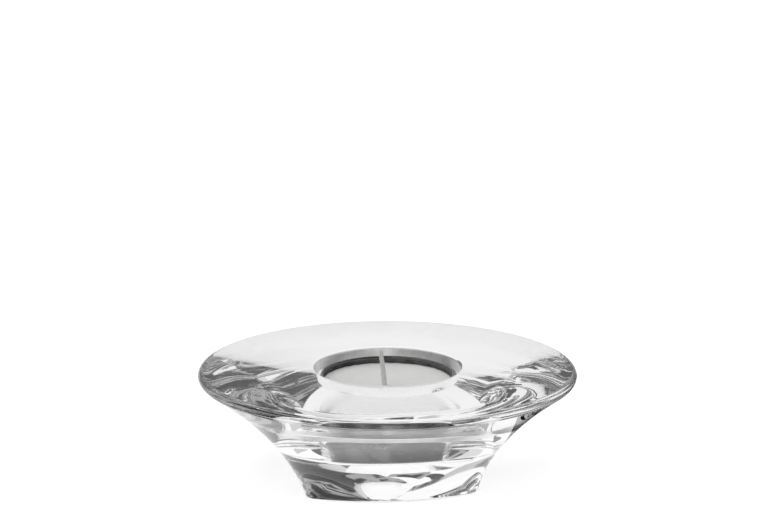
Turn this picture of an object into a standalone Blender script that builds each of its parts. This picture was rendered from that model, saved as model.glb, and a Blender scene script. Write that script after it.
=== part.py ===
"""Votive candle holder: a clear crystal block on a three-sided foot, flaring to a round rim, and its tealight.

Metres, +Z up. The origin is the centre of the foot on the surface that the holder stands on. The foot has
three bowed sides and three rounded corners. One side faces -Y, so one corner points along +Y. The tealight
stands loose in the pocket and lifts straight out.
"""

import math

import bmesh
import bpy

# Crystal block
RIM_DIAMETER = 0.109
RIM_HEIGHT = 0.0342
RIM_EDGE_RADIUS = 0.0016
TOP_CROWN_RADIUS = 0.24
SIDES = 3
FOOT_SIDE_DISTANCE = 0.0201
FOOT_SIDE_RADIUS = 0.0628
FOOT_CORNER_RADIUS = 0.0046
FOOT_EDGE_RADIUS = 0.0006
FLARE_TILT_AT_FOOT = math.radians(28)
FLARE_TILT_AT_RIM = math.radians(58)
CORNER_ROUNDING_POWER = 0.79

CRYSTAL_IOR = 1.51

# Candle pocket
POCKET_ROOM = 0.0021
CUP_TOP_BELOW_RIM = 0.0021
POCKET_DRAFT = 0.0003
POCKET_FLOOR_RADIUS = 0.002
LIP_RADIUS = 0.0007

# Tealight cup
CUP_DIAMETER = 0.0382
CUP_HEIGHT = 0.0152
CUP_WALL = 0.0004
CUP_BOTTOM_RADIUS = 0.0014
CUP_TAPER = 0.0004
CUP_BEAD_RADIUS = 0.0005

# Wax
WAX_EDGE_BELOW_CUP_RIM = 0.0019
WAX_DIP = 0.0015
WAX_DIP_POWER = 3
WAX_COLLAR_RADIUS = 0.0021
WAX_COLLAR_HEIGHT = 0.0007

# Wick and the tin disc that holds it upright
WICK_X = -0.0010
WICK_Y = -0.0015
WICK_RADIUS = 0.00078
WICK_TIP_RADIUS = 0.00066
WICK_EXPOSED_LENGTH = 0.0107
WICK_LEAN = 0.0012
WICK_LEAN_POWER = 1.3
SUSTAINER_DIAMETER = 0.0125
SUSTAINER_THICKNESS = 0.0004
SUSTAINER_NECK_WALL = 0.0004
SUSTAINER_NECK_HEIGHT = 0.003

# Room between pieces that touch
CLEARANCE = 0.0003

# Size of the empty that marks the lift's axis
AXIS_MARK_SIZE = 0.01

# Fineness of round shapes
SIDE_STEPS = 30
FLARE_STEPS = 14
EDGE_STEPS = 4
ROUND_STEPS = 6
RIM_STEPS = 8
TOP_STEPS = 4
WAX_STEPS = 12
WICK_STEPS = 6
TURNED_STEPS = 64
MERGE_DISTANCE = 0.00001
SHARP_ANGLE = math.radians(35)

FRONT = -math.pi / 2
RIM_RADIUS = RIM_DIAMETER / 2
POCKET_DIAMETER = CUP_DIAMETER + 2 * POCKET_ROOM
POCKET_DEPTH = CUP_TOP_BELOW_RIM + CUP_HEIGHT + CLEARANCE
POCKET_FLOOR = RIM_HEIGHT - POCKET_DEPTH
CUP_BASE = POCKET_FLOOR + CLEARANCE
CUP_TOP = CUP_BASE + CUP_HEIGHT
CUP_INNER_RADIUS = CUP_DIAMETER / 2 - CUP_WALL
CUP_FLOOR_TOP = CUP_BASE + CUP_WALL
WAX_EDGE_TOP = CUP_TOP - WAX_EDGE_BELOW_CUP_RIM
WAX_CENTRE_TOP = WAX_EDGE_TOP - WAX_DIP
WAX_UNDERSIDE = CUP_FLOOR_TOP + CLEARANCE
WAX_RADIUS = CUP_INNER_RADIUS - CLEARANCE
SUSTAINER_BASE = CUP_FLOOR_TOP + CLEARANCE
NECK_BORE_RADIUS = WICK_RADIUS + CLEARANCE
NECK_RADIUS = NECK_BORE_RADIUS + SUSTAINER_NECK_WALL
WICK_BASE = SUSTAINER_BASE + SUSTAINER_THICKNESS


def clear_scene():
    for item in list(bpy.data.objects):
        bpy.data.objects.remove(item, do_unlink=True)


def new_collection(name):
    collection = bpy.data.collections.new(name)
    bpy.context.scene.collection.children.link(collection)
    return collection


def material(name, colour, roughness, metallic=0.0, transmission=0.0, ior=1.45):
    made = bpy.data.materials.new(name)
    made.use_nodes = True
    shader = made.node_tree.nodes["Principled BSDF"]
    shader.inputs["Base Color"].default_value = (*colour, 1.0)
    shader.inputs["Roughness"].default_value = roughness
    shader.inputs["Metallic"].default_value = metallic
    shader.inputs["Transmission Weight"].default_value = transmission
    shader.inputs["IOR"].default_value = ior
    made.diffuse_color = (*colour, 1.0)
    return made


def add_object(name, data, collection, surface=None):
    item = bpy.data.objects.new(name, data)
    collection.objects.link(item)
    if surface:
        data.materials.append(surface)
    return item


def arc(centre, radius, start, end, steps):
    """Points of a circular arc in the profile plane, from angle start to angle end."""
    points = []
    for step in range(steps + 1):
        angle = start + (end - start) * step / steps
        points.append((centre[0] + radius * math.cos(angle), centre[1] + radius * math.sin(angle)))
    return points


def bend(start, start_tilt, end, end_tilt, steps):
    """Points of a smooth curve that leans out from upright by one tilt at its start and another at its end."""
    run = end[0] - start[0]
    rise = end[1] - start[1]
    reach = (run * math.cos(end_tilt) - rise * math.sin(end_tilt)) / math.sin(start_tilt - end_tilt)
    turn = (start[0] + reach * math.sin(start_tilt), start[1] + reach * math.cos(start_tilt))
    points = []
    for step in range(steps + 1):
        share = step / steps
        weights = ((1 - share)**2, 2 * share * (1 - share), share**2)
        points.append(tuple(
            weights[0] * start[axis] + weights[1] * turn[axis] + weights[2] * end[axis] for axis in (0, 1)
        ))
    return points


def direction(centre, point):
    return math.atan2(point[1] - centre[1], point[0] - centre[0])


def shade_round(mesh):
    mesh.shade_smooth()
    mesh.set_sharp_from_angle(angle=SHARP_ANGLE)


def turned(name, profile, collection, surface=None):
    """A body turned about Z, from a profile that runs up the inside, or the axis, and down the outer side."""
    mesh = bpy.data.meshes.new(name)
    edges = [(index, index + 1) for index in range(len(profile) - 1)]
    if profile[0][0] > 0:
        edges.append((len(profile) - 1, 0))
    mesh.from_pydata([(radius, 0.0, height) for radius, height in profile], edges, [])
    item = add_object(name, mesh, collection, surface)
    screw = item.modifiers.new("Turn", "SCREW")
    screw.steps = TURNED_STEPS
    screw.render_steps = TURNED_STEPS
    screw.use_merge_vertices = True
    screw.merge_threshold = MERGE_DISTANCE
    screw.use_smooth_shade = True
    return item


def cut(target, cutter, operation="DIFFERENCE"):
    cutter.hide_render = True
    cutter.display_type = "WIRE"
    boolean = target.modifiers.new(operation.title(), "BOOLEAN")
    boolean.operation = operation
    boolean.object = cutter
    boolean.solver = "EXACT"


def outline_point(angle, side_distance, side_radius, corner_radius):
    """The point that faces a direction, on an outline of bowed sides with round corners between them."""
    sector = math.tau / SIDES
    bow_centre = side_radius - side_distance
    bow_along = bow_centre * math.cos(sector / 2)
    bow_aside = bow_centre * math.sin(sector / 2)
    corner_centre = math.sqrt((side_radius - corner_radius)**2 - bow_aside**2) - bow_along
    corner_along = corner_centre * math.cos(sector / 2)
    corner_aside = corner_centre * math.sin(sector / 2)
    side_half_angle = math.atan2(corner_aside, corner_along + bow_centre)
    side = FRONT + round((angle - FRONT) / sector) * sector
    turn = angle - side
    if abs(turn) <= side_half_angle:
        x = side_radius * math.cos(turn) - bow_centre
        y = side_radius * math.sin(turn)
    else:
        x = corner_along + corner_radius * math.cos(turn)
        y = math.copysign(corner_aside, turn) + corner_radius * math.sin(turn)
    return (
        x * math.cos(side) - y * math.sin(side),
        x * math.sin(side) + y * math.cos(side),
    )


def facing_angles():
    """Directions round the block, evenly spaced, from the middle of the front side on."""
    count = SIDES * SIDE_STEPS
    return [FRONT + math.tau * step / count for step in range(count)]


def ring_between(blend, round_radius, inset, height):
    """A ring between the foot's outline (blend 0) and a circle (blend 1), drawn in by inset."""
    side_distance = FOOT_SIDE_DISTANCE + (round_radius - FOOT_SIDE_DISTANCE) * blend
    side_radius = FOOT_SIDE_RADIUS + (round_radius - FOOT_SIDE_RADIUS) * blend
    corner_radius = FOOT_CORNER_RADIUS + (round_radius - FOOT_CORNER_RADIUS) * blend**CORNER_ROUNDING_POWER
    ring = []
    for angle in facing_angles():
        x, y = outline_point(angle, side_distance, side_radius, corner_radius)
        ring.append((x - inset * math.cos(angle), y - inset * math.sin(angle), height))
    return ring


def circle_ring(radius, height):
    return [(radius * math.cos(angle), radius * math.sin(angle), height) for angle in facing_angles()]


def centre_between(first, to_first, second, to_second):
    """The point at two given distances from two points, on the right of the line from first to second."""
    run = second[0] - first[0]
    rise = second[1] - first[1]
    distance = math.hypot(run, rise)
    along = (distance**2 + to_first**2 - to_second**2) / (2 * distance)
    aside = math.sqrt(to_first**2 - along**2)
    return (
        first[0] + (along * run + aside * rise) / distance,
        first[1] + (along * rise - aside * run) / distance,
    )


def crystal_rings():
    """Rings from the underside, up the flare, over the rim and down into the pocket."""
    mouth = POCKET_DIAMETER / 2
    foot_edge = (FOOT_SIDE_DISTANCE - FOOT_EDGE_RADIUS, FOOT_EDGE_RADIUS)
    rim_edge = (RIM_RADIUS - RIM_EDGE_RADIUS, RIM_HEIGHT - RIM_EDGE_RADIUS)
    lip_edge = (mouth + LIP_RADIUS, RIM_HEIGHT - LIP_RADIUS)
    lip_to_crown = TOP_CROWN_RADIUS - LIP_RADIUS
    rim_to_crown = TOP_CROWN_RADIUS - RIM_EDGE_RADIUS
    crown = centre_between(lip_edge, lip_to_crown, rim_edge, rim_to_crown)
    rings = []

    foot_round = arc(foot_edge, FOOT_EDGE_RADIUS, -math.pi / 2, -FLARE_TILT_AT_FOOT, EDGE_STEPS)
    wall_foot = foot_round[-1]
    for width, height in foot_round:
        rings.append(ring_between(0.0, RIM_RADIUS, wall_foot[0] - width, height))

    top_start = direction(crown, rim_edge)
    top_end = direction(crown, lip_edge)
    rim_round = arc(rim_edge, RIM_EDGE_RADIUS, -FLARE_TILT_AT_RIM, top_start, RIM_STEPS)
    wall_top = rim_round[0]
    wall = bend(wall_foot, FLARE_TILT_AT_FOOT, wall_top, FLARE_TILT_AT_RIM, FLARE_STEPS)
    for width, height in wall[1:-1]:
        blend = (width - wall_foot[0]) / (wall_top[0] - wall_foot[0])
        rings.append(ring_between(blend, wall_top[0], 0.0, height))

    top = arc(crown, TOP_CROWN_RADIUS, top_start, top_end, TOP_STEPS)
    lip = arc(lip_edge, LIP_RADIUS, top_end, math.pi, EDGE_STEPS)
    floor_centre = (mouth - POCKET_DRAFT - POCKET_FLOOR_RADIUS, POCKET_FLOOR + POCKET_FLOOR_RADIUS)
    floor_round = arc(floor_centre, POCKET_FLOOR_RADIUS, 0.0, -math.pi / 2, ROUND_STEPS)
    turned_part = rim_round + top[1:-1] + lip + floor_round
    rings += [circle_ring(radius, height) for radius, height in turned_part]
    return rings


def crystal_body(collection):
    """The crystal block: a loft of rings with one flat cap under the foot and one on the pocket's floor."""
    shape = bmesh.new()
    rings = [[shape.verts.new(point) for point in ring] for ring in crystal_rings()]
    count = len(rings[0])
    shape.faces.new(list(reversed(rings[0])))
    for lower, upper in zip(rings, rings[1:]):
        for step in range(count):
            following = (step + 1) % count
            shape.faces.new((lower[step], lower[following], upper[following], upper[step]))
    shape.faces.new(rings[-1])
    mesh = bpy.data.meshes.new("crystal_body")
    shape.to_mesh(mesh)
    shape.free()
    shade_round(mesh)
    glass = material("crystal", (0.95, 0.96, 0.96), 0.0, transmission=1.0, ior=CRYSTAL_IOR)
    return add_object("crystal_body", mesh, collection, glass)


def cup_corner():
    """Centre of the rounding between the cup's wall and its floor."""
    return CUP_DIAMETER / 2 - CUP_TAPER - CUP_BOTTOM_RADIUS, CUP_BASE + CUP_BOTTOM_RADIUS


def tealight_cup(collection):
    """Thin aluminium cup with a rolled bead round its rim."""
    outer = CUP_DIAMETER / 2
    bead = (outer - CUP_WALL / 2, CUP_TOP - CUP_BEAD_RADIUS)
    join = math.asin(CUP_WALL / 2 / CUP_BEAD_RADIUS)
    corner = cup_corner()
    profile = [(0.0, CUP_FLOOR_TOP)]
    profile += arc(corner, CUP_BOTTOM_RADIUS - CUP_WALL, -math.pi / 2, 0.0, ROUND_STEPS)
    profile += arc(bead, CUP_BEAD_RADIUS, -math.pi / 2 - join, join - 5 * math.pi / 2, 2 * ROUND_STEPS)
    profile += arc(corner, CUP_BOTTOM_RADIUS, 0.0, -math.pi / 2, ROUND_STEPS)
    profile.append((0.0, CUP_BASE))
    aluminium = material("aluminium", (0.78, 0.78, 0.79), 0.3, metallic=1.0)
    return turned("tealight_cup", profile, collection, aluminium)


def sustainer_profile(room):
    """The disc and its neck, with room added all round for the cavity that they leave in the wax."""
    disc = SUSTAINER_DIAMETER / 2 + room
    neck = NECK_RADIUS + room
    disc_top = SUSTAINER_BASE + SUSTAINER_THICKNESS + room
    neck_top = SUSTAINER_BASE + SUSTAINER_THICKNESS + SUSTAINER_NECK_HEIGHT + room
    return disc, neck, disc_top, neck_top


def wick_sustainer(collection):
    """Tin disc on the cup's floor with the neck that holds the wick."""
    disc, neck, disc_top, neck_top = sustainer_profile(0.0)
    profile = [
        (NECK_BORE_RADIUS, SUSTAINER_BASE),
        (NECK_BORE_RADIUS, neck_top),
        (neck, neck_top),
        (neck, disc_top),
        (disc, disc_top),
        (disc, SUSTAINER_BASE),
    ]
    tin = material("tin", (0.62, 0.62, 0.63), 0.35, metallic=1.0)
    return turned("wick_sustainer", profile, collection, tin)


def wax_surface(radius):
    """Height of the set wax: it climbs the cup's wall and dips towards the middle."""
    return WAX_CENTRE_TOP + WAX_DIP * (radius / WAX_RADIUS) ** WAX_DIP_POWER


def wax(collection, cutters):
    """Wax filling of the cup, with a collar round the wick and the cavity of the wick and its sustainer."""
    rounding = CUP_BOTTOM_RADIUS - CUP_WALL - CLEARANCE
    profile = [(0.0, WAX_CENTRE_TOP)]
    for step in range(1, WAX_STEPS + 1):
        radius = WAX_RADIUS * step / WAX_STEPS
        profile.append((radius, wax_surface(radius)))
    profile += arc(cup_corner(), rounding, 0.0, -math.pi / 2, ROUND_STEPS)
    profile.append((0.0, WAX_UNDERSIDE))
    white = material("wax", (0.86, 0.86, 0.84), 0.45)
    body = turned("wax", profile, collection, white)

    collar_foot = WAX_CENTRE_TOP - WAX_COLLAR_HEIGHT
    collar_top = WAX_CENTRE_TOP + WAX_COLLAR_HEIGHT
    collar = turned("wax_collar_shape", [
        (0.0, collar_top),
        (WAX_COLLAR_RADIUS / 2, collar_top),
        (WAX_COLLAR_RADIUS, collar_foot),
        (0.0, collar_foot),
    ], cutters)

    disc, neck, disc_top, neck_top = sustainer_profile(CLEARANCE)
    bore = WICK_RADIUS + CLEARANCE
    below = WAX_UNDERSIDE - CLEARANCE
    above = CUP_TOP
    cavity = turned("wick_cavity", [
        (0.0, above),
        (bore, above),
        (bore, neck_top),
        (neck, neck_top),
        (neck, disc_top),
        (disc, disc_top),
        (disc, below),
        (0.0, below),
    ], cutters)
    for shape in (collar, cavity):
        shape.location = (WICK_X, WICK_Y, 0.0)
    cut(body, collar, "UNION")
    cut(body, cavity)
    return body


def wick(collection):
    """Cotton wick, straight through the wax and leaning a little above it."""
    surface = WAX_CENTRE_TOP + WAX_COLLAR_HEIGHT
    exposed = WICK_EXPOSED_LENGTH - WAX_COLLAR_HEIGHT
    stations = [(0.0, WICK_BASE, WICK_RADIUS), (0.0, surface, WICK_RADIUS)]
    for step in range(1, WICK_STEPS + 1):
        share = step / WICK_STEPS
        radius = WICK_RADIUS + (WICK_TIP_RADIUS - WICK_RADIUS) * share
        stations.append((-WICK_LEAN * share**WICK_LEAN_POWER, surface + exposed * share, radius))
    curve = bpy.data.curves.new("wick", "CURVE")
    curve.dimensions = "3D"
    curve.bevel_depth = WICK_RADIUS
    curve.bevel_resolution = 2
    curve.use_fill_caps = True
    spline = curve.splines.new("POLY")
    spline.points.add(len(stations) - 1)
    for point, (lean, height, radius) in zip(spline.points, stations):
        point.co = (lean, 0.0, height, 1.0)
        point.radius = radius / WICK_RADIUS
    cotton = material("cotton", (0.70, 0.70, 0.68), 0.9)
    item = add_object("wick", curve, collection, cotton)
    item.location = (WICK_X, WICK_Y, 0.0)
    return item


def main():
    clear_scene()
    holder = new_collection("votive_candle_holder")
    cutters = new_collection("cutters")
    crystal_body(holder)

    lift_axis = bpy.data.objects.new("tealight_lift_axis", None)
    lift_axis.empty_display_size = AXIS_MARK_SIZE
    holder.objects.link(lift_axis)
    sustainer = wick_sustainer(holder)
    sustainer.location = (WICK_X, WICK_Y, 0.0)
    for piece in (tealight_cup(holder), wax(holder, cutters), sustainer, wick(holder)):
        piece.parent = lift_axis


main()
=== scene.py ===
import math

import bmesh
import bpy
from mathutils import Matrix, Vector, noise


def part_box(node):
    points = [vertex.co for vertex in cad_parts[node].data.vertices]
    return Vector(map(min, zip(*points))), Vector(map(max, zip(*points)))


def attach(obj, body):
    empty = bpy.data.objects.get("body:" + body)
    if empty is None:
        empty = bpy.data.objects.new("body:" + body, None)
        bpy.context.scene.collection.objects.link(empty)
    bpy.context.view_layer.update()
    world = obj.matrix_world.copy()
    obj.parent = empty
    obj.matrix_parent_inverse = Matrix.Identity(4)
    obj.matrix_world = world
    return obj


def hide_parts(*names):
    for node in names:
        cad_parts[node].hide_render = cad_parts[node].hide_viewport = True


# Photograph and camera, in metres, millimetres of lens and pixels of the 768 by 508 frame
PHOTO_WIDTH = 768
PHOTO_HEIGHT = 508
CAMERA_TURN = math.radians(6.4)
CAMERA_RISE = math.radians(17.1)
CAMERA_DISTANCE = 0.6
CAMERA_LENS = 96.5
CAMERA_CLIP_START = 0.01
SENSOR_WIDTH = 36.0
AIM_POINT = Vector((0.0, 0.0, 0.016))
AIM_PIXEL = (387.4, 426.4)

# Crystal block
SIDES = 3
FRONT = -math.pi / 2
FOOT_SIDE_DISTANCE = 0.0201
FOOT_SIDE_RADIUS = 0.0628
FOOT_CORNER_RADIUS = 0.0046
FOOT_EDGE_RADIUS = 0.0006
FLARE_TILT_AT_FOOT = math.radians(28)
FLARE_TILT_AT_RIM = math.radians(58)
CORNER_ROUNDING_POWER = 0.79
RIM_HEIGHT = 0.0342
RIM_EDGE_RADIUS = 0.0016
TOP_CROWN_RADIUS = 0.24
LIP_RADIUS = 0.0007
POCKET_DRAFT = 0.0003
POCKET_FLOOR_RADIUS = 0.002
POCKET_ROOM = 0.0021
FLARE_WAVE = 0.00002
FLARE_WAVE_SCALE = 130.0
CRYSTAL_IOR = 1.51

# The flare's waves grow and fade as x**2 * (1 - x), and this is the largest value that it has
WAVE_PEAK = 4 / 27

# Band of painted dark shade on the pocket's wall above the cup, and how softly a band of colour ends
PAINTED_SHADE_BAND_FOOT = 0.03
PAINTED_SHADE_BAND_FADE = 0.001
PAINTED_SHADE_BAND_ROUGHNESS = 0.3
MASK_EDGE = 0.0001

# Tealight
CUP_WALL = 0.0004
CUP_BOTTOM_RADIUS = 0.0014
CUP_TAPER = 0.0004
CUP_BEAD_RADIUS = 0.0005
CLEARANCE = 0.0003
WAX_EDGE_BELOW_CUP_RIM = 0.0019
WAX_DIP = 0.0015
WAX_DIP_POWER = 3
WAX_WALL_GAP = 0.00005
WAX_MENISCUS = 0.0003
WAX_MENISCUS_REACH = 0.0007
WAX_MENISCUS_UNEVENNESS = 0.45
WAX_MENISCUS_SCALE = 500.0
WAX_COLLAR_RADIUS = 0.0014
WAX_COLLAR_HEIGHT = 0.0007
WAX_COLLAR_POWER = 4
WAX_WAVE = 0.00006
WAX_WAVE_SCALE = 260.0
WICK_X = -0.0010
WICK_Y = -0.0015
WICK_RADIUS = 0.00078
WICK_TIP_RADIUS = 0.00066
WICK_LEAN = 0.0012
WICK_LEAN_POWER = 1.3
WICK_BLUNTING = 0.35
WICK_BLUNT_FROM = 0.95
WICK_STRANDS = 3
WICK_STRAND_DEPTH = 0.14
WICK_TWIST_PITCH = 0.0024

# Studio: levels of light where 1 is white, sizes in metres and angles in degrees
WORLD_LIGHT = 0.55
FLOOR_SIZE = 12.0
FLOOR_LEVEL = -0.0002
FLOOR_LIFT = 0.52
LAMP_STRENGTH = 0.9
LAMP_SPREAD = 70.0
LAMP_TILT_BACK = 12.0
LAMP_TILT_LEFT = -25.0

# Places and fineness of the cards and sheets, in metres: a nearer dome hides what is behind it
HORIZON_DISTANCE = 1.15
CARD_DISTANCE = 1.2
DARK_ROOM_DISTANCE = 1.25
SHEET_LEVEL = -0.0001
MIDDLE_SHEET_END = 0.046
NEAR_SHEET_END = 0.26
CARD_STEPS_PER_TURN = 72
CARD_RISE_STEPS = 12
CARD_PATCH_SIZE = 0.22
SHEET_PATCH_SIZE = 0.06
PATCH_EDGE_FROM = 0.46
PATCH_EDGE_TO = 0.54

# Darkest and brightest patches of a card or sheet
WHITE = (1.0, 1.0)
LIGHT = (0.7, 0.7)
MIDDLE = (0.5, 0.5)
DIM = (0.15, 0.15)
BLACK = (0.0, 0.0)
PATCHED_LIGHT = (0.0, 1.0)
PATCHED_MIDDLE = (0.0, 0.8)
PATCHED_DARK = (0.0, 0.35)

# Cards round the block, as glass and gloss show them: name, azimuths, elevations, levels
CARDS = (
    ("backdrop", (-30, 15), (0, 60), WHITE),
    ("backdrop_left", (-60, -30), (0, 40), MIDDLE),
    ("backdrop_right_foot", (15, 45), (0, 12), DIM),
    ("backdrop_right", (15, 45), (12, 60), LIGHT),
    ("overhead_back", (-15, 30), (60, 90), WHITE),
    ("right_flag", (60, 105), (12, 60), BLACK),
    ("camera_panel", (165, 255), (0, 40), PATCHED_LIGHT),
    ("left_panel", (255, 300), (0, 40), PATCHED_DARK),
    ("softbox_camera", (180, 210), (40, 60), WHITE),
    ("softbox_left", (225, 285), (40, 60), WHITE),
    ("softbox_left_top", (240, 270), (60, 90), WHITE),
    ("softbox_back_left", (300, 330), (40, 60), WHITE),
)

# Sheets on the floor, as glass and gloss show them: name, azimuths, distances, levels
SHEETS = (
    # Painted light: the white sheet under the block stands in for the light that the glass focuses onto
    # the floor there, and covers the block's shadow as glass shows it.
    ("painted_caustic_under_block", (0, 360), (0.0, MIDDLE_SHEET_END), WHITE),
    ("sheet_back", (-60, 30), (MIDDLE_SHEET_END, CARD_DISTANCE), WHITE),
    ("sheet_right", (30, 165), (MIDDLE_SHEET_END, NEAR_SHEET_END), PATCHED_DARK),
    ("sheet_right_far", (30, 165), (NEAR_SHEET_END, CARD_DISTANCE), PATCHED_MIDDLE),
    ("sheet_round", (165, 300), (MIDDLE_SHEET_END, CARD_DISTANCE), PATCHED_LIGHT),
)

# The band behind and beside the block that its flat top mirrors, which glass looks past
HORIZON = ("horizon", (-120, 120), (4, 40), MIDDLE)

# Fineness of the visual meshes
SIDE_STEPS = 120
FLARE_STEPS = 64
EDGE_STEPS = 10
ROUND_STEPS = 14
RIM_STEPS = 20
TOP_STEPS = 30
TURNED_STEPS = 240
WAX_STEPS = 60
WICK_STEPS = 120
WICK_SIDES = 48
EDGE_SUPPORT = 0.0003

# How often light may pass or bounce: a crystal block needs many turns before it shows the studio
GLASS_BOUNCES = 32
GLOSS_BOUNCES = 16


def new_material(name):
    """A material with an empty node tree but for its Principled shader."""
    made = bpy.data.materials.new(name)
    made.use_nodes = True
    return made, made.node_tree, made.node_tree.nodes["Principled BSDF"]


def noise_field(tree, scale, detail=2.0, roughness=0.5, distortion=0.0):
    """A noise texture on the object's own coordinates, so that it moves with the piece."""
    place = tree.nodes.new("ShaderNodeTexCoord")
    field = tree.nodes.new("ShaderNodeTexNoise")
    field.inputs["Scale"].default_value = scale
    field.inputs["Detail"].default_value = detail
    field.inputs["Roughness"].default_value = roughness
    field.inputs["Distortion"].default_value = distortion
    tree.links.new(place.outputs["Object"], field.inputs["Vector"])
    return field


def colour_between(tree, factor, low, high):
    """A colour ramp from low to high over a 0 to 1 factor."""
    ramp = tree.nodes.new("ShaderNodeValToRGB")
    ramp.color_ramp.elements[0].color = (*low, 1.0)
    ramp.color_ramp.elements[1].color = (*high, 1.0)
    tree.links.new(factor, ramp.inputs["Fac"])
    return ramp.outputs["Color"]


def value_between(tree, factor, low, high):
    """A number that runs from low to high over a 0 to 1 factor."""
    mapped = tree.nodes.new("ShaderNodeMapRange")
    mapped.inputs["To Min"].default_value = low
    mapped.inputs["To Max"].default_value = high
    tree.links.new(factor, mapped.inputs["Value"])
    return mapped.outputs["Result"]


def value_over(tree, value, start, end):
    """0 before start, 1 past end and a straight rise between them."""
    mapped = tree.nodes.new("ShaderNodeMapRange")
    mapped.inputs["From Min"].default_value = start
    mapped.inputs["From Max"].default_value = end
    tree.links.new(value, mapped.inputs["Value"])
    return mapped.outputs["Result"]


def bump(tree, height, strength, distance, shader):
    """Small relief of a finish."""
    node = tree.nodes.new("ShaderNodeBump")
    node.inputs["Strength"].default_value = strength
    node.inputs["Distance"].default_value = distance
    tree.links.new(height, node.inputs["Height"])
    tree.links.new(node.outputs["Normal"], shader.inputs["Normal"])


def inside_radius(tree, radius):
    """1 nearer to the upright axis than the radius and 0 further out."""
    place = tree.nodes.new("ShaderNodeTexCoord")
    flat = tree.nodes.new("ShaderNodeVectorMath")
    flat.operation = "MULTIPLY"
    flat.inputs[1].default_value = (1.0, 1.0, 0.0)
    tree.links.new(place.outputs["Object"], flat.inputs[0])
    length = tree.nodes.new("ShaderNodeVectorMath")
    length.operation = "LENGTH"
    tree.links.new(flat.outputs["Vector"], length.inputs[0])
    return value_over(tree, length.outputs["Value"], radius + MASK_EDGE, radius - MASK_EDGE)


def painted_shade_band(tree, mouth):
    """1 on the pocket's wall above the cup, where dark shade is painted on the glass, and 0 elsewhere."""
    place = tree.nodes.new("ShaderNodeTexCoord")
    split = tree.nodes.new("ShaderNodeSeparateXYZ")
    tree.links.new(place.outputs["Object"], split.inputs["Vector"])
    above = value_over(tree, split.outputs["Z"], PAINTED_SHADE_BAND_FOOT, PAINTED_SHADE_BAND_FOOT + PAINTED_SHADE_BAND_FADE)
    both = tree.nodes.new("ShaderNodeMath")
    both.operation = "MULTIPLY"
    tree.links.new(inside_radius(tree, mouth + 2 * MASK_EDGE), both.inputs[0])
    tree.links.new(above, both.inputs[1])
    return both.outputs["Value"]


def blend_colours(tree, factor, first, second):
    """The first colour where the factor is 0 and the second where it is 1."""
    mix = tree.nodes.new("ShaderNodeMix")
    mix.data_type = "RGBA"
    tree.links.new(factor, mix.inputs["Factor"])
    tree.links.new(first, mix.inputs["A"])
    tree.links.new(second, mix.inputs["B"])
    return mix.outputs["Result"]


def crystal_material(mouth):
    """Clear polished crystal, hardly uneven in tone, with painted dark mottled shade on the pocket's wall
    above the cup.
    """
    made, tree, shader = new_material("crystal_clear")
    field = noise_field(tree, scale=60.0, detail=3.0)
    clear = colour_between(tree, field.outputs["Fac"], (0.985, 0.988, 0.988), (1.0, 1.0, 1.0))
    # Painted shade: a mottled band of near-black colour darkens the glass of the pocket's wall above the
    # cup.
    mottle = noise_field(tree, scale=420.0, detail=4.0, roughness=0.6)
    shade_band_colour = colour_between(tree, mottle.outputs["Fac"], (0.10, 0.10, 0.10), (0.55, 0.55, 0.55))
    band = painted_shade_band(tree, mouth)
    tree.links.new(blend_colours(tree, band, clear, shade_band_colour), shader.inputs["Base Color"])
    tree.links.new(value_between(tree, band, 0.0, PAINTED_SHADE_BAND_ROUGHNESS), shader.inputs["Roughness"])
    shader.inputs["IOR"].default_value = CRYSTAL_IOR
    shader.inputs["Transmission Weight"].default_value = 1.0
    return made


def aluminium_material(inner_radius):
    """Thin pressed aluminium, mottled and softly dented, with painted shade that makes its inside darker.
    """
    made, tree, shader = new_material("pressed_aluminium")
    mottle = noise_field(tree, scale=220.0, detail=4.0, roughness=0.6)
    bright = colour_between(tree, mottle.outputs["Fac"], (0.24, 0.24, 0.25), (0.58, 0.58, 0.59))
    # Painted shade: the cup's inside gets a much darker copy of the metal's colour.
    painted_shade_inside = colour_between(tree, mottle.outputs["Fac"], (0.05, 0.05, 0.05), (0.24, 0.24, 0.24))
    inside = inside_radius(tree, inner_radius)
    tree.links.new(blend_colours(tree, inside, bright, painted_shade_inside), shader.inputs["Base Color"])
    tree.links.new(value_between(tree, mottle.outputs["Fac"], 0.14, 0.34), shader.inputs["Roughness"])
    shader.inputs["Metallic"].default_value = 1.0
    dents = noise_field(tree, scale=150.0, detail=5.0, roughness=0.6)
    bump(tree, dents.outputs["Fac"], strength=0.5, distance=0.0012, shader=shader)
    return made


def wax_material():
    """White paraffin wax: a soft glow below the surface, a satin skin and a faint cloudiness."""
    made, tree, shader = new_material("paraffin_wax")
    cloud = noise_field(tree, scale=160.0, detail=4.0, roughness=0.55)
    tone = colour_between(tree, cloud.outputs["Fac"], (0.80, 0.80, 0.79), (0.90, 0.90, 0.89))
    tree.links.new(tone, shader.inputs["Base Color"])
    tree.links.new(value_between(tree, cloud.outputs["Fac"], 0.30, 0.46), shader.inputs["Roughness"])
    shader.inputs["Subsurface Weight"].default_value = 0.35
    shader.inputs["Subsurface Radius"].default_value = (1.0, 1.0, 1.0)
    shader.inputs["Subsurface Scale"].default_value = 0.002
    grain = noise_field(tree, scale=900.0)
    bump(tree, grain.outputs["Fac"], strength=0.12, distance=0.0001, shader=shader)
    return made


def cotton_material():
    """Waxed cotton braid."""
    made, tree, shader = new_material("waxed_cotton")
    fibre = noise_field(tree, scale=2600.0, detail=3.0, roughness=0.6)
    tone = colour_between(tree, fibre.outputs["Fac"], (0.52, 0.52, 0.50), (0.80, 0.80, 0.78))
    tree.links.new(tone, shader.inputs["Base Color"])
    shader.inputs["Roughness"].default_value = 0.75
    bump(tree, fibre.outputs["Fac"], strength=0.5, distance=0.0001, shader=shader)
    return made


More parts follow.
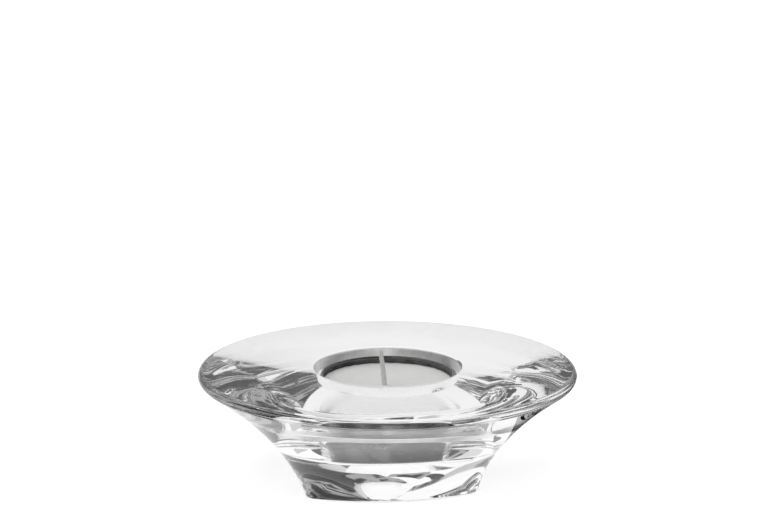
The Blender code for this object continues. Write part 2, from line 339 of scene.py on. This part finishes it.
def tin_material():
    """Tinned sheet of the sustainer, grey with a fine spangle."""
    made, tree, shader = new_material("tinned_sheet")
    spangle = noise_field(tree, scale=800.0)
    tone = colour_between(tree, spangle.outputs["Fac"], (0.50, 0.50, 0.51), (0.70, 0.70, 0.71))
    tree.links.new(tone, shader.inputs["Base Color"])
    tree.links.new(value_between(tree, spangle.outputs["Fac"], 0.28, 0.45), shader.inputs["Roughness"])
    shader.inputs["Metallic"].default_value = 1.0
    return made


def arc(centre, radius, start, end, steps):
    """Points of a circular arc in the profile plane, from angle start to angle end."""
    points = []
    for step in range(steps + 1):
        angle = start + (end - start) * step / steps
        points.append((centre[0] + radius * math.cos(angle), centre[1] + radius * math.sin(angle)))
    return points


def bend(start, start_tilt, end, end_tilt, steps):
    """Points of a smooth curve that leans out from upright by given tilts at its start and end."""
    run = end[0] - start[0]
    rise = end[1] - start[1]
    reach = (run * math.cos(end_tilt) - rise * math.sin(end_tilt)) / math.sin(start_tilt - end_tilt)
    turn = (start[0] + reach * math.sin(start_tilt), start[1] + reach * math.cos(start_tilt))
    points = []
    for step in range(steps + 1):
        share = step / steps
        weights = ((1 - share)**2, 2 * share * (1 - share), share**2)
        points.append(tuple(
            weights[0] * start[axis] + weights[1] * turn[axis] + weights[2] * end[axis] for axis in (0, 1)
        ))
    return points


def direction(centre, point):
    """Angle in the profile plane from a centre to a point."""
    return math.atan2(point[1] - centre[1], point[0] - centre[0])


def mesh_from_rings(name, rings, material):
    """A smooth closed loft of rings of equal length, listed from the underside up, over and inwards."""
    shape = bmesh.new()
    loops = [[shape.verts.new(point) for point in ring] for ring in rings]
    count = len(loops[0])
    shape.faces.new(list(reversed(loops[0])))
    for lower, upper in zip(loops, loops[1:]):
        for step in range(count):
            following = (step + 1) % count
            shape.faces.new((lower[step], lower[following], upper[following], upper[step]))
    shape.faces.new(loops[-1])
    mesh = bpy.data.meshes.new(name)
    shape.to_mesh(mesh)
    shape.free()
    mesh.shade_smooth()
    mesh.materials.append(material)
    item = bpy.data.objects.new(name, mesh)
    bpy.context.scene.collection.objects.link(item)
    return item


def outline_point(angle, side_distance, side_radius, corner_radius):
    """The point that faces a direction, on an outline of bowed sides with round corners between them."""
    sector = math.tau / SIDES
    bow_centre = side_radius - side_distance
    bow_along = bow_centre * math.cos(sector / 2)
    bow_aside = bow_centre * math.sin(sector / 2)
    corner_centre = math.sqrt((side_radius - corner_radius)**2 - bow_aside**2) - bow_along
    corner_along = corner_centre * math.cos(sector / 2)
    corner_aside = corner_centre * math.sin(sector / 2)
    side_half_angle = math.atan2(corner_aside, corner_along + bow_centre)
    side = FRONT + round((angle - FRONT) / sector) * sector
    turn = angle - side
    if abs(turn) <= side_half_angle:
        x = side_radius * math.cos(turn) - bow_centre
        y = side_radius * math.sin(turn)
    else:
        x = corner_along + corner_radius * math.cos(turn)
        y = math.copysign(corner_aside, turn) + corner_radius * math.sin(turn)
    return (
        x * math.cos(side) - y * math.sin(side),
        x * math.sin(side) + y * math.cos(side),
    )


def facing_angles():
    """Directions round the block, evenly spaced, from the middle of the front side on."""
    count = SIDES * SIDE_STEPS
    return [FRONT + math.tau * step / count for step in range(count)]


def ring_between(blend, round_radius, inset, height):
    """A ring between the foot's outline (blend 0) and a circle (blend 1), drawn in by inset.

    It carries the flare's waves, which only ever go inwards and fade out towards the foot and the rim.
    """
    side_distance = FOOT_SIDE_DISTANCE + (round_radius - FOOT_SIDE_DISTANCE) * blend
    side_radius = FOOT_SIDE_RADIUS + (round_radius - FOOT_SIDE_RADIUS) * blend
    corner_radius = FOOT_CORNER_RADIUS + (round_radius - FOOT_CORNER_RADIUS) * blend**CORNER_ROUNDING_POWER
    depth = FLARE_WAVE * blend**2 * (1 - blend) / WAVE_PEAK
    ring = []
    for angle in facing_angles():
        x, y = outline_point(angle, side_distance, side_radius, corner_radius)
        wave = noise.noise(Vector((x, y, height)) * FLARE_WAVE_SCALE) - 1.0
        drawn_in = inset - depth * wave
        ring.append((x - drawn_in * math.cos(angle), y - drawn_in * math.sin(angle), height))
    return ring


def circle_ring(radius, height):
    """A round ring with its points in the same directions as the others."""
    return [(radius * math.cos(angle), radius * math.sin(angle), height) for angle in facing_angles()]


def centre_between(first, to_first, second, to_second):
    """The point at two given distances from two points, on the right of the line from first to second."""
    run = second[0] - first[0]
    rise = second[1] - first[1]
    distance = math.hypot(run, rise)
    along = (distance**2 + to_first**2 - to_second**2) / (2 * distance)
    aside = math.sqrt(to_first**2 - along**2)
    return (
        first[0] + (along * run + aside * rise) / distance,
        first[1] + (along * rise - aside * run) / distance,
    )


def crystal_rings(rim_radius, mouth, pocket_floor):
    """Rings from the underside, up the flare, over the rim and down into the pocket."""
    foot_edge = (FOOT_SIDE_DISTANCE - FOOT_EDGE_RADIUS, FOOT_EDGE_RADIUS)
    rim_edge = (rim_radius - RIM_EDGE_RADIUS, RIM_HEIGHT - RIM_EDGE_RADIUS)
    lip_edge = (mouth + LIP_RADIUS, RIM_HEIGHT - LIP_RADIUS)
    lip_to_crown = TOP_CROWN_RADIUS - LIP_RADIUS
    rim_to_crown = TOP_CROWN_RADIUS - RIM_EDGE_RADIUS
    crown = centre_between(lip_edge, lip_to_crown, rim_edge, rim_to_crown)

    foot_round = arc(foot_edge, FOOT_EDGE_RADIUS, -math.pi / 2, -FLARE_TILT_AT_FOOT, EDGE_STEPS)
    wall_foot = foot_round[-1]
    rings = [ring_between(0.0, rim_radius, wall_foot[0] - foot_edge[0] + EDGE_SUPPORT, 0.0)]
    for width, level in foot_round:
        rings.append(ring_between(0.0, rim_radius, wall_foot[0] - width, level))

    top_start = direction(crown, rim_edge)
    top_end = direction(crown, lip_edge)
    rim_round = arc(rim_edge, RIM_EDGE_RADIUS, -FLARE_TILT_AT_RIM, top_start, RIM_STEPS)
    wall_top = rim_round[0]
    wall = bend(wall_foot, FLARE_TILT_AT_FOOT, wall_top, FLARE_TILT_AT_RIM, FLARE_STEPS)
    for width, level in wall[1:-1]:
        blend = (width - wall_foot[0]) / (wall_top[0] - wall_foot[0])
        rings.append(ring_between(blend, wall_top[0], 0.0, level))

    top = arc(crown, TOP_CROWN_RADIUS, top_start, top_end, TOP_STEPS)
    lip = arc(lip_edge, LIP_RADIUS, top_end, math.pi, EDGE_STEPS)
    floor_centre = (mouth - POCKET_DRAFT - POCKET_FLOOR_RADIUS, pocket_floor + POCKET_FLOOR_RADIUS)
    floor_round = arc(floor_centre, POCKET_FLOOR_RADIUS, 0.0, -math.pi / 2, ROUND_STEPS)
    turned_part = rim_round + top[1:-1] + lip + floor_round
    turned_part.append((floor_centre[0] - EDGE_SUPPORT, pocket_floor))
    return rings + [circle_ring(radius, level) for radius, level in turned_part]


def make_crystal():
    """The crystal block, between its solid's rim and the pocket that its solid has round the cup."""
    rim_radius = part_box("crystal_body")[1].y
    pocket_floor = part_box("tealight_cup")[0].z - CLEARANCE
    mouth = cup_radius() + POCKET_ROOM
    rings = crystal_rings(rim_radius, mouth, pocket_floor)
    return mesh_from_rings("crystal_glass", rings, crystal_material(mouth))


def cup_radius():
    """Radius of the cup's wall at its top: the bead stands a little proud of it."""
    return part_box("tealight_cup")[1].y + CUP_WALL / 2 - CUP_BEAD_RADIUS


def turned_rings(profile):
    """One round ring for each point of a profile, for the tealight's pieces."""
    turns = [math.tau * step / TURNED_STEPS for step in range(TURNED_STEPS)]
    return [
        [(radius * math.cos(turn), radius * math.sin(turn), level) for turn in turns]
        for radius, level in profile
    ]


def make_cup():
    """The pressed cup: rings up the outer wall, over the bead and down the inside to the floor."""
    low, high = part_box("tealight_cup")
    outer = cup_radius()
    bead = (outer - CUP_WALL / 2, high.z - CUP_BEAD_RADIUS)
    join = math.asin(CUP_WALL / 2 / CUP_BEAD_RADIUS)
    corner = (outer - CUP_TAPER - CUP_BOTTOM_RADIUS, low.z + CUP_BOTTOM_RADIUS)
    profile = [(corner[0] - EDGE_SUPPORT, low.z)]
    profile += arc(corner, CUP_BOTTOM_RADIUS, -math.pi / 2, 0.0, ROUND_STEPS)
    profile += arc(bead, CUP_BEAD_RADIUS, join - math.pi / 2, 3 * math.pi / 2 - join, 2 * ROUND_STEPS)
    profile += arc(corner, CUP_BOTTOM_RADIUS - CUP_WALL, 0.0, -math.pi / 2, ROUND_STEPS)
    profile.append((corner[0] - EDGE_SUPPORT, low.z + CUP_WALL))
    finish = aluminium_material(outer - CUP_WALL / 2)
    return mesh_from_rings("tealight_cup_shell", turned_rings(profile), finish)


def collar_rise(x, y):
    """How far the wax climbs the wick, as a smooth skirt round it."""
    distance = math.hypot(x - WICK_X, y - WICK_Y)
    return WAX_COLLAR_HEIGHT / (1 + (distance / WAX_COLLAR_RADIUS)**WAX_COLLAR_POWER)


def meniscus_rise(x, y, from_wall):
    """How far the wax climbs the cup's wall, unevenly, below the level that it reaches at most."""
    unevenness = noise.noise(Vector((x, y, 1.0)) * WAX_MENISCUS_SCALE) - 1.0
    climb = 1.0 + WAX_MENISCUS_UNEVENNESS * unevenness
    return WAX_MENISCUS * (climb * math.exp(-from_wall / WAX_MENISCUS_REACH) - 1.0)


def make_wax():
    """The set wax: a dished top that climbs the cup's wall and the wick, with a faintly uneven skin."""
    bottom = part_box("wax")[0].z
    edge_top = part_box("tealight_cup")[1].z - WAX_EDGE_BELOW_CUP_RIM
    wall = cup_radius() - CUP_WALL - WAX_WALL_GAP
    rings_from_middle = []
    for step in range(1, WAX_STEPS + 1):
        radius = wall * step / WAX_STEPS
        dished = edge_top - WAX_DIP + WAX_DIP * (radius / wall)**WAX_DIP_POWER
        ring = []
        for turn in range(TURNED_STEPS):
            angle = math.tau * turn / TURNED_STEPS
            x = radius * math.cos(angle)
            y = radius * math.sin(angle)
            wave = WAX_WAVE * noise.noise(Vector((x, y, 0.0)) * WAX_WAVE_SCALE)
            level = dished + meniscus_rise(x, y, wall - radius) + collar_rise(x, y) + wave
            ring.append((x, y, level))
        rings_from_middle.append(ring)
    skirt = wall - CUP_TAPER
    side = [
        (skirt - CUP_BOTTOM_RADIUS, bottom),
        (skirt, bottom + CUP_BOTTOM_RADIUS),
    ]
    rings = turned_rings(side) + list(reversed(rings_from_middle))
    return mesh_from_rings("wax_fill", rings, wax_material())


def make_wick():
    """The braided wick: a rope of twisted strands that leans a little, cut off blunt at its tip."""
    low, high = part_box("wick")
    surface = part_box("wax")[1].z - WAX_DIP
    length = high.z - low.z
    rings = []
    for step in range(WICK_STEPS + 1):
        share = step / WICK_STEPS
        level = low.z + length * share
        above = max(0.0, (level - surface) / (high.z - surface))
        lean = -WICK_LEAN * above**WICK_LEAN_POWER
        at_tip = max(0.0, (share - WICK_BLUNT_FROM) / (1.0 - WICK_BLUNT_FROM))
        radius = WICK_RADIUS + (WICK_TIP_RADIUS - WICK_RADIUS) * above
        radius *= 1.0 - WICK_BLUNTING * at_tip**2
        twist = level / WICK_TWIST_PITCH * math.tau
        ring = []
        for turn in range(WICK_SIDES):
            angle = math.tau * turn / WICK_SIDES
            hollow = 1.0 - abs(math.cos((angle * WICK_STRANDS - twist) / 2))
            reach = radius * (1.0 - WICK_STRAND_DEPTH * hollow)
            ring.append((
                WICK_X + lean + reach * math.cos(angle),
                WICK_Y + reach * math.sin(angle),
                level,
            ))
        rings.append(ring)
    return mesh_from_rings("wick_braid", rings, cotton_material())


def light_paths(tree, *names):
    """1 for rays of the named kinds and 0 for the others."""
    paths = tree.nodes.new("ShaderNodeLightPath")
    together = paths.outputs[names[0]]
    for name in names[1:]:
        larger = tree.nodes.new("ShaderNodeMath")
        larger.operation = "MAXIMUM"
        tree.links.new(together, larger.inputs[0])
        tree.links.new(paths.outputs[name], larger.inputs[1])
        together = larger.outputs["Value"]
    return together


def make_world():
    """White where it is seen, directly, in gloss or through glass, and dimmer as a light on the rest."""
    world = bpy.data.worlds.new("studio")
    world.use_nodes = True
    tree = world.node_tree
    tree.nodes.clear()
    light = tree.nodes.new("ShaderNodeBackground")
    light.inputs["Strength"].default_value = WORLD_LIGHT
    white = tree.nodes.new("ShaderNodeBackground")
    white.inputs["Strength"].default_value = 1.0
    for background in (light, white):
        background.inputs["Color"].default_value = (1.0, 1.0, 1.0, 1.0)
    mix = tree.nodes.new("ShaderNodeMixShader")
    seen = light_paths(tree, "Is Camera Ray", "Is Glossy Ray", "Is Transmission Ray")
    tree.links.new(seen, mix.inputs["Fac"])
    tree.links.new(light.outputs["Background"], mix.inputs[1])
    tree.links.new(white.outputs["Background"], mix.inputs[2])
    output = tree.nodes.new("ShaderNodeOutputWorld")
    tree.links.new(mix.outputs["Shader"], output.inputs["Surface"])
    bpy.context.scene.world = world


def make_floor():
    """A pale floor that shows the block's shadow, lifted to white where it is seen."""
    mesh = bpy.data.meshes.new("floor")
    half = FLOOR_SIZE / 2
    square = ((-half, -half), (half, -half), (half, half), (-half, half))
    corners = [(x, y, FLOOR_LEVEL) for x, y in square]
    mesh.from_pydata(corners, [], [(0, 1, 2, 3)])
    floor = bpy.data.objects.new("floor", mesh)
    bpy.context.scene.collection.objects.link(floor)
    made, tree, shader = new_material("pale_floor")
    grain = noise_field(tree, scale=30.0)
    tone = colour_between(tree, grain.outputs["Fac"], (0.86, 0.86, 0.86), (0.88, 0.88, 0.88))
    tree.links.new(tone, shader.inputs["Base Color"])
    shader.inputs["Roughness"].default_value = 1.0
    shader.inputs["Specular IOR Level"].default_value = 0.0
    shader.inputs["Emission Color"].default_value = (1.0, 1.0, 1.0, 1.0)
    seen = light_paths(tree, "Is Camera Ray", "Is Glossy Ray", "Is Transmission Ray")
    tree.links.new(value_between(tree, seen, 0.0, FLOOR_LIFT), shader.inputs["Emission Strength"])
    mesh.materials.append(made)


def make_card(name, azimuths, profile, levels, patch_size):
    """A studio card: a profile of distance and height swept round the block, in soft patches of light.

    Azimuth is 0 degrees behind the block as the camera looks and 90 at the camera's right. Only gloss and
    glass show the cards, and they cast no shadow.
    """
    first_azimuth, last_azimuth = azimuths
    sweep = last_azimuth - first_azimuth
    steps = round(sweep / 360 * CARD_STEPS_PER_TURN)
    points = []
    for distance, height in profile:
        for step in range(steps + 1):
            azimuth = math.radians(first_azimuth + sweep * step / steps) + CAMERA_TURN
            points.append((distance * math.sin(azimuth), distance * math.cos(azimuth), height))
    faces = []
    for rise in range(len(profile) - 1):
        for step in range(steps):
            first = rise * (steps + 1) + step
            faces.append((first, first + 1, first + steps + 2, first + steps + 1))
    mesh = bpy.data.meshes.new(name)
    mesh.from_pydata(points, [], faces)
    card = bpy.data.objects.new(name, mesh)
    bpy.context.scene.collection.objects.link(card)
    made = bpy.data.materials.new(name)
    made.use_nodes = True
    made.cycles.emission_sampling = "NONE"
    tree = made.node_tree
    tree.nodes.clear()
    patches = noise_field(tree, scale=1.0 / patch_size, detail=1.0, roughness=0.4, distortion=0.6)
    field = value_over(tree, patches.outputs["Fac"], PATCH_EDGE_FROM, PATCH_EDGE_TO)
    glow = tree.nodes.new("ShaderNodeEmission")
    tree.links.new(value_between(tree, field, *levels), glow.inputs["Strength"])
    output = tree.nodes.new("ShaderNodeOutputMaterial")
    tree.links.new(glow.outputs["Emission"], output.inputs["Surface"])
    mesh.materials.append(made)
    card.visible_camera = False
    card.visible_diffuse = False
    card.visible_shadow = False
    return card


def make_sheet(name, azimuths, distances, levels):
    """A studio card that lies on the floor, between two distances from the block's middle."""
    profile = [(distance, SHEET_LEVEL) for distance in distances]
    return make_card(name, azimuths, profile, levels, SHEET_PATCH_SIZE)


def make_dome_card(name, azimuths, elevations, levels, distance):
    """A studio card on a dome round the block, between two elevations."""
    low, high = (math.radians(elevation) for elevation in elevations)
    profile = arc((0.0, 0.0), distance, low, high, CARD_RISE_STEPS)
    return make_card(name, azimuths, profile, levels, CARD_PATCH_SIZE)


def make_lamp():
    """One large soft lamp high up on the left, for the wax, the wick and the floor."""
    data = bpy.data.lights.new("soft_lamp", "SUN")
    data.energy = LAMP_STRENGTH
    data.angle = math.radians(LAMP_SPREAD)
    lamp = bpy.data.objects.new("soft_lamp", data)
    lamp.rotation_euler = (math.radians(LAMP_TILT_BACK), math.radians(LAMP_TILT_LEFT), 0.0)
    lamp.visible_glossy = False
    lamp.visible_transmission = False
    bpy.context.scene.collection.objects.link(lamp)


def make_camera():
    """Camera at the photograph's angle, turned so that the block's middle falls on its pixel there."""
    towards_camera = Vector((
        -math.sin(CAMERA_TURN) * math.cos(CAMERA_RISE),
        -math.cos(CAMERA_TURN) * math.cos(CAMERA_RISE),
        math.sin(CAMERA_RISE),
    ))
    forward = -towards_camera
    up_world = Vector((0.0, 0.0, 1.0))
    right = forward.cross(up_world).normalized()
    up = right.cross(forward).normalized()
    focal_pixels = CAMERA_LENS / SENSOR_WIDTH * PHOTO_WIDTH
    aside = (AIM_PIXEL[0] - PHOTO_WIDTH / 2) / focal_pixels
    below = (AIM_PIXEL[1] - PHOTO_HEIGHT / 2) / focal_pixels
    aim = (forward + up * below - right * aside).normalized()
    right = aim.cross(up_world).normalized()
    up = right.cross(aim).normalized()
    place = Matrix((right, up, -aim)).transposed().to_4x4()
    place.translation = AIM_POINT + towards_camera * CAMERA_DISTANCE
    data = bpy.data.cameras.new("camera")
    data.sensor_width = SENSOR_WIDTH
    data.lens = CAMERA_LENS
    data.clip_start = CAMERA_CLIP_START
    camera = bpy.data.objects.new("camera", data)
    camera.matrix_world = place
    bpy.context.scene.collection.objects.link(camera)
    bpy.context.scene.camera = camera


def dress(piece, body, node):
    """Puts a piece on the body that it rides on and hides the solid that it stands for."""
    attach(piece, body)
    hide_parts(node)


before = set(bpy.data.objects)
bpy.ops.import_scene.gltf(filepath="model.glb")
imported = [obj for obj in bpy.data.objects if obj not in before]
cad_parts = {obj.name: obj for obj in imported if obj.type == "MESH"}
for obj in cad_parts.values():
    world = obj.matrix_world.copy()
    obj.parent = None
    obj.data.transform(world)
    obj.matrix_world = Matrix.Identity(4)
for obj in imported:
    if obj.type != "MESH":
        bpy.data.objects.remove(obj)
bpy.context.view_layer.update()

scene = bpy.context.scene
scene.view_settings.view_transform = "Standard"
scene.cycles.max_bounces = GLASS_BOUNCES
scene.cycles.transmission_bounces = GLASS_BOUNCES
scene.cycles.glossy_bounces = GLOSS_BOUNCES
scene.cycles.blur_glossy = 0.0

make_camera()
make_world()
make_floor()
make_lamp()
make_dome_card("dark_room", (0, 360), (0, 90), PATCHED_DARK, DARK_ROOM_DISTANCE)
for card in CARDS:
    make_dome_card(*card, CARD_DISTANCE)
for sheet in SHEETS:
    make_sheet(*sheet)
make_dome_card(*HORIZON, HORIZON_DISTANCE).visible_transmission = False

dress(make_crystal(), "holder", "crystal_body")
dress(make_cup(), "tealight", "tealight_cup")
dress(make_wax(), "tealight", "wax")
dress(make_wick(), "tealight", "wick")
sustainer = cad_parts["wick_sustainer"]
sustainer.data.materials.clear()
sustainer.data.materials.append(tin_material())
